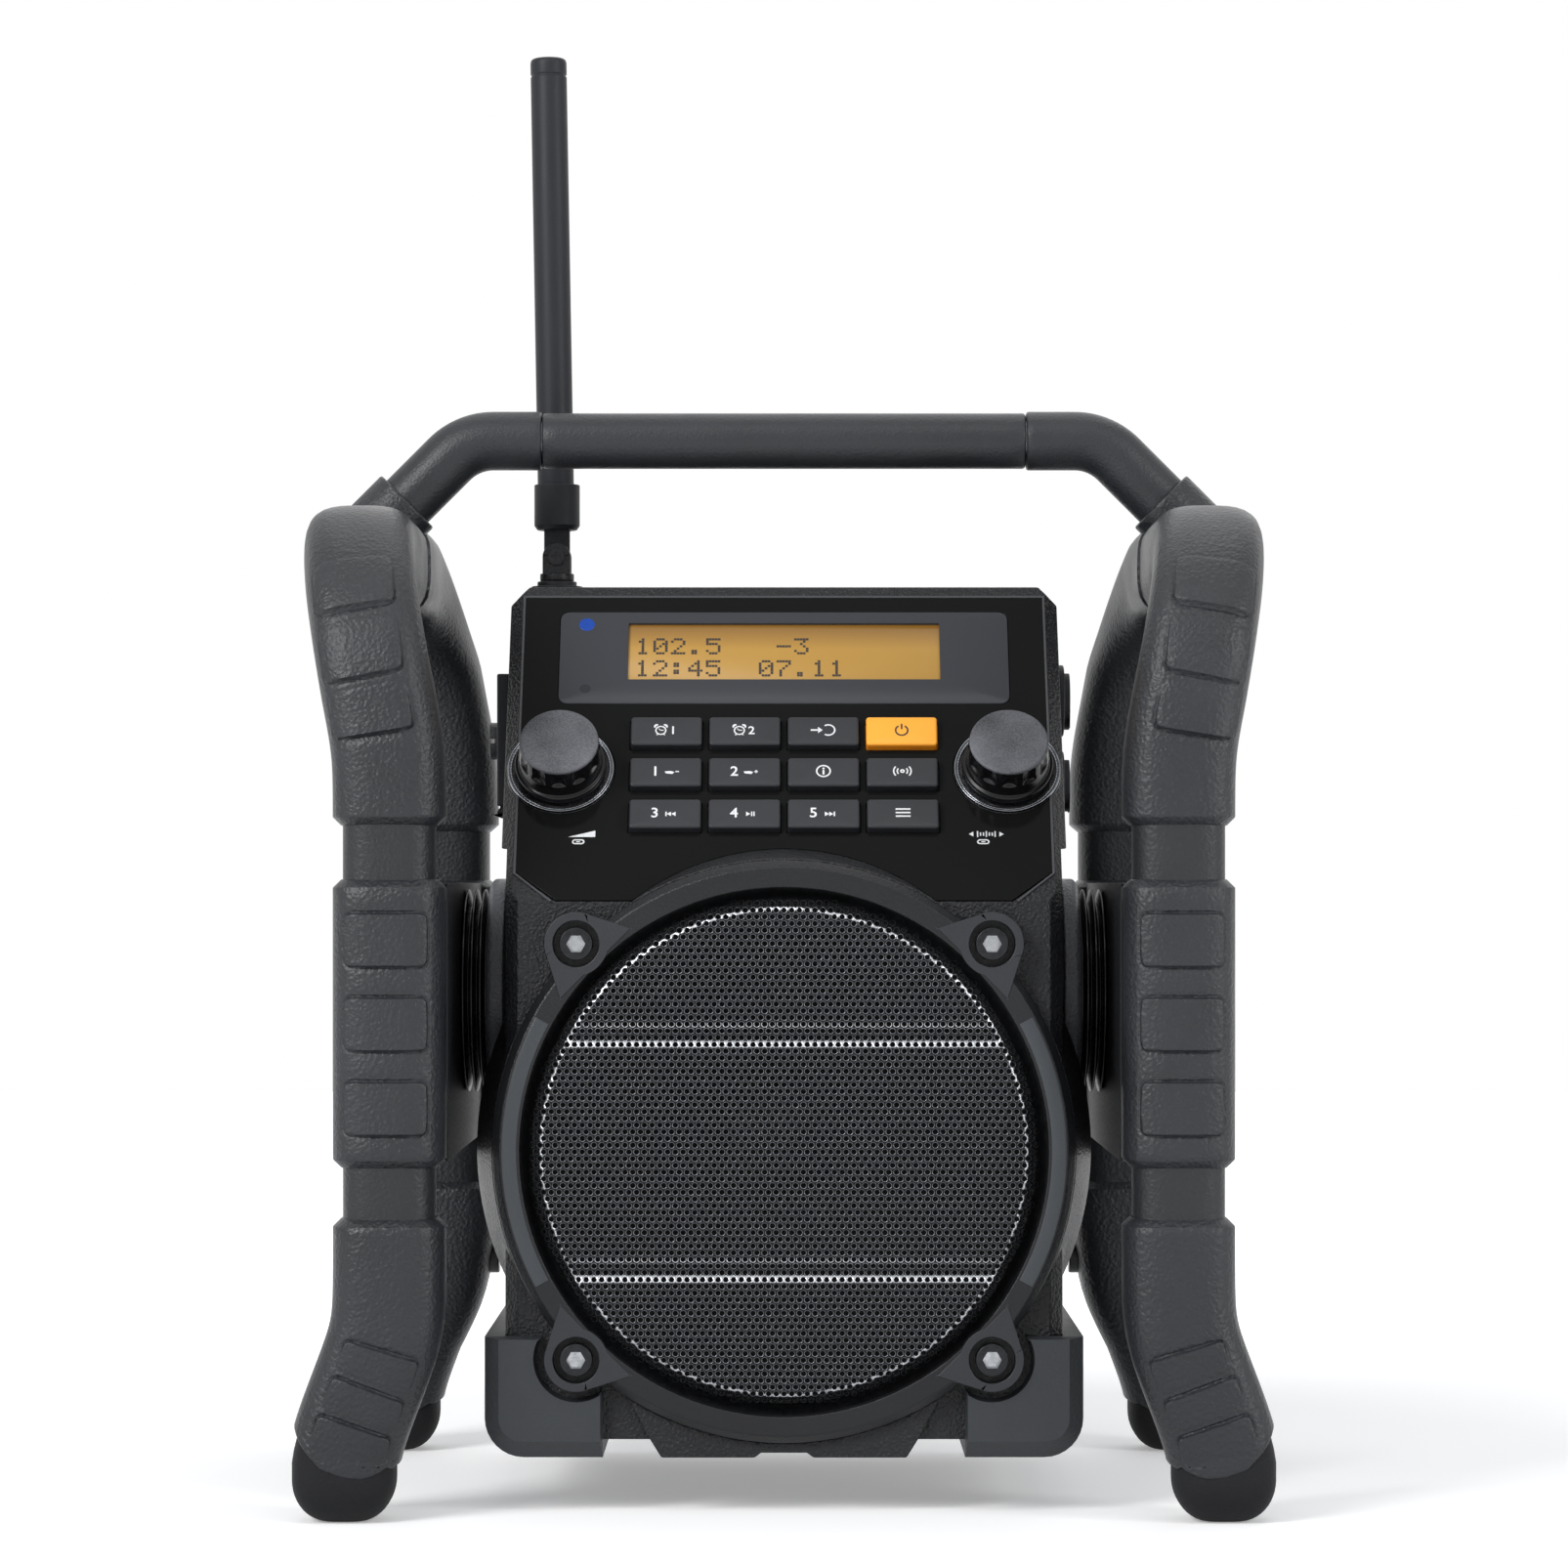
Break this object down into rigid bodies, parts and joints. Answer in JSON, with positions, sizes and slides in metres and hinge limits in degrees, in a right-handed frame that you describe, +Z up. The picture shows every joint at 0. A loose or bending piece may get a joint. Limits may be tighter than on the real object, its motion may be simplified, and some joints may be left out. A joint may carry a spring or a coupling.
{
  "type": "jobsite radio",
  "caption": "Rugged site radio in a roll cage: tilted control slope, round loudspeaker, carrying handle, folding rubber antenna.",
  "frame": {"origin": "on the ground under the middle of the cage", "axes": "+Z up, +X to the right of someone facing the controls, -Y out of the loudspeaker's front"},
  "size_m": [0.298, 0.2238, 0.465],
  "materials": {
    "cabinet": "fine moulded grain",
    "cage": "fine leather-like grain",
    "sleeve": "fine leather-like grain, satin",
    "foot": "coarse grain, matt",
    "guard": "fine grain, satin",
    "buffer": "ribbed, satin",
    "plate": "powder coat",
    "steel_tube": "plain",
    "grip": "fine grain, satin",
    "panel": "high gloss",
    "window": "gloss",
    "display": "lit amber",
    "circuit": "solder mask",
    "mat": "silicone",
    "key": "satin",
    "power_key": "satin",
    "knob": "gloss skirt, grained cap",
    "knob_ring": "bright",
    "shaft": "turned",
    "encoder": "plain",
    "bezel": "satin",
    "grille": "black, perforated",
    "screw_black": "black oxide",
    "screw_steel": "plain",
    "basket": "grey",
    "magnet": "plain",
    "cone": "matt",
    "cell": "plain sleeve",
    "cap_rubber": "satin",
    "socket": "plain",
    "antenna_rubber": "fine grain, satin",
    "antenna_plastic": "satin"
  },
  "bodies": {
    "radio": {"front_housing": "cabinet", "rear_housing": "cabinet", "housing_screws": "screw_steel", "corner_guards": "guard", "control_panel": "panel", "display_window": "window", "lcd_module": "display", "keypad_mat": "mat", "key_board": "circuit", "encoders": "encoder", "knob_rings": "knob_ring", "bezel_ring": "bezel", "speaker_grille": "grille", "bezel_screws": "screw_black", "speaker_basket": "basket", "speaker_magnet": "magnet", "speaker_cone": "cone", "main_board": "circuit", "battery_cells": "cell", "side_sockets": "socket", "antenna_base": "antenna_plastic", "handle_tube": "steel_tube", "handle_elbows": "cage", "handle_grip": "grip", "left_frame": "cage", "right_frame": "cage", "left_top_sleeve": "sleeve", "right_top_sleeve": "sleeve", "mid_sleeves": "sleeve", "lower_sleeves": "sleeve", "foot_caps": "foot", "side_plates": "plate", "hub_buffers": "buffer", "leg_buffers": "buffer"},
    "key_alarm_1": {"key_alarm_1": "key"},
    "key_alarm_2": {"key_alarm_2": "key"},
    "key_source": {"key_source": "key"},
    "key_power": {"key_power": "power_key"},
    "key_1": {"key_1": "key"},
    "key_2": {"key_2": "key"},
    "key_info": {"key_info": "key"},
    "key_scan": {"key_scan": "key"},
    "key_3": {"key_3": "key"},
    "key_4": {"key_4": "key"},
    "key_5": {"key_5": "key"},
    "key_menu": {"key_menu": "key"},
    "volume_push": {"volume_shaft": "shaft"},
    "volume_turn": {"volume_knob": "knob"},
    "tuning_push": {"tuning_shaft": "shaft"},
    "tuning_turn": {"tuning_knob": "knob"},
    "antenna_mount": {"antenna_knuckle": "antenna_plastic", "antenna_pivot": "screw_steel"},
    "antenna_rod": {"antenna_ferrule": "antenna_plastic", "antenna_whip": "antenna_rubber"},
    "battery_lid": {"battery_door": "cabinet"},
    "battery_turn_lock": {"battery_latch": "antenna_plastic"},
    "port_lid": {"port_door": "cap_rubber"},
    "port_turn_lock": {"port_latch": "antenna_plastic"},
    "aux_plug": {"aux_cap": "cap_rubber"},
    "dc_plug": {"dc_cap": "cap_rubber"}
  },
  "joints": [
    {"name": "press_alarm_1", "type": "slide", "parent": "radio", "child": "key_alarm_1", "axis": [0, 0.8192, -0.5736], "range_m": [0, 0.0012], "stiffness_N_per_m": 500, "springref_m": -0.0006},
    {"name": "press_alarm_2", "type": "slide", "parent": "radio", "child": "key_alarm_2", "axis": [0, 0.8192, -0.5736], "range_m": [0, 0.0012], "stiffness_N_per_m": 500, "springref_m": -0.0006},
    {"name": "press_source", "type": "slide", "parent": "radio", "child": "key_source", "axis": [0, 0.8192, -0.5736], "range_m": [0, 0.0012], "stiffness_N_per_m": 500, "springref_m": -0.0006},
    {"name": "press_power", "type": "slide", "parent": "radio", "child": "key_power", "axis": [0, 0.8192, -0.5736], "range_m": [0, 0.0012], "stiffness_N_per_m": 500, "springref_m": -0.0006},
    {"name": "press_1", "type": "slide", "parent": "radio", "child": "key_1", "axis": [0, 0.8192, -0.5736], "range_m": [0, 0.0012], "stiffness_N_per_m": 500, "springref_m": -0.0006},
    {"name": "press_2", "type": "slide", "parent": "radio", "child": "key_2", "axis": [0, 0.8192, -0.5736], "range_m": [0, 0.0012], "stiffness_N_per_m": 500, "springref_m": -0.0006},
    {"name": "press_info", "type": "slide", "parent": "radio", "child": "key_info", "axis": [0, 0.8192, -0.5736], "range_m": [0, 0.0012], "stiffness_N_per_m": 500, "springref_m": -0.0006},
    {"name": "press_scan", "type": "slide", "parent": "radio", "child": "key_scan", "axis": [0, 0.8192, -0.5736], "range_m": [0, 0.0012], "stiffness_N_per_m": 500, "springref_m": -0.0006},
    {"name": "press_3", "type": "slide", "parent": "radio", "child": "key_3", "axis": [0, 0.8192, -0.5736], "range_m": [0, 0.0012], "stiffness_N_per_m": 500, "springref_m": -0.0006},
    {"name": "press_4", "type": "slide", "parent": "radio", "child": "key_4", "axis": [0, 0.8192, -0.5736], "range_m": [0, 0.0012], "stiffness_N_per_m": 500, "springref_m": -0.0006},
    {"name": "press_5", "type": "slide", "parent": "radio", "child": "key_5", "axis": [0, 0.8192, -0.5736], "range_m": [0, 0.0012], "stiffness_N_per_m": 500, "springref_m": -0.0006},
    {"name": "press_menu", "type": "slide", "parent": "radio", "child": "key_menu", "axis": [0, 0.8192, -0.5736], "range_m": [0, 0.0012], "stiffness_N_per_m": 500, "springref_m": -0.0006},
    {"name": "volume_press", "type": "slide", "parent": "radio", "child": "volume_push", "axis": [0, 0.8192, -0.5736], "range_m": [0, 0.0008], "stiffness_N_per_m": 1500, "springref_m": -0.0008},
    {"name": "volume_spin", "type": "hinge", "parent": "volume_push", "child": "volume_turn", "pos_m": [-0.0695, -0.05616, 0.23214], "axis": [0, -0.8192, 0.5736], "continuous": true},
    {"name": "tuning_press", "type": "slide", "parent": "radio", "child": "tuning_push", "axis": [0, 0.8192, -0.5736], "range_m": [0, 0.0008], "stiffness_N_per_m": 1500, "springref_m": -0.0008},
    {"name": "tuning_spin", "type": "hinge", "parent": "tuning_push", "child": "tuning_turn", "pos_m": [0.0695, -0.05616, 0.23214], "axis": [0, -0.8192, 0.5736], "continuous": true},
    {"name": "antenna_swivel", "type": "hinge", "parent": "radio", "child": "antenna_mount", "pos_m": [-0.075, 0.046, 0.29], "axis": [0, 0, 1], "range_deg": [0, 90]},
    {"name": "antenna_tilt", "type": "hinge", "parent": "antenna_mount", "child": "antenna_rod", "pos_m": [-0.075, 0.046, 0.3], "axis": [0, 1, 0], "range_deg": [0, 90]},
    {"name": "battery_door_swing", "type": "hinge", "parent": "radio", "child": "battery_lid", "pos_m": [0, 0.0875, 0.0315], "axis": [-1, 0, 0], "range_deg": [0, 100]},
    {"name": "battery_lock_turn", "type": "hinge", "parent": "battery_lid", "child": "battery_turn_lock", "pos_m": [0, 0.085, 0.1003], "axis": [0, 1, 0], "range_deg": [0, 90]},
    {"name": "port_door_swing", "type": "hinge", "parent": "radio", "child": "port_lid", "pos_m": [-0.0895, 0.002, 0.2148], "axis": [0, -1, 0], "range_deg": [0, 90]},
    {"name": "port_lock_turn", "type": "hinge", "parent": "port_lid", "child": "port_turn_lock", "pos_m": [-0.0913, 0.002, 0.238], "axis": [1, 0, 0], "range_deg": [0, 90]},
    {"name": "aux_cap_pull", "type": "slide", "parent": "radio", "child": "aux_plug", "axis": [1, 0, 0], "range_m": [0, 0.012]},
    {"name": "dc_cap_pull", "type": "slide", "parent": "radio", "child": "dc_plug", "axis": [1, 0, 0], "range_m": [0, 0.012]}
  ]
}
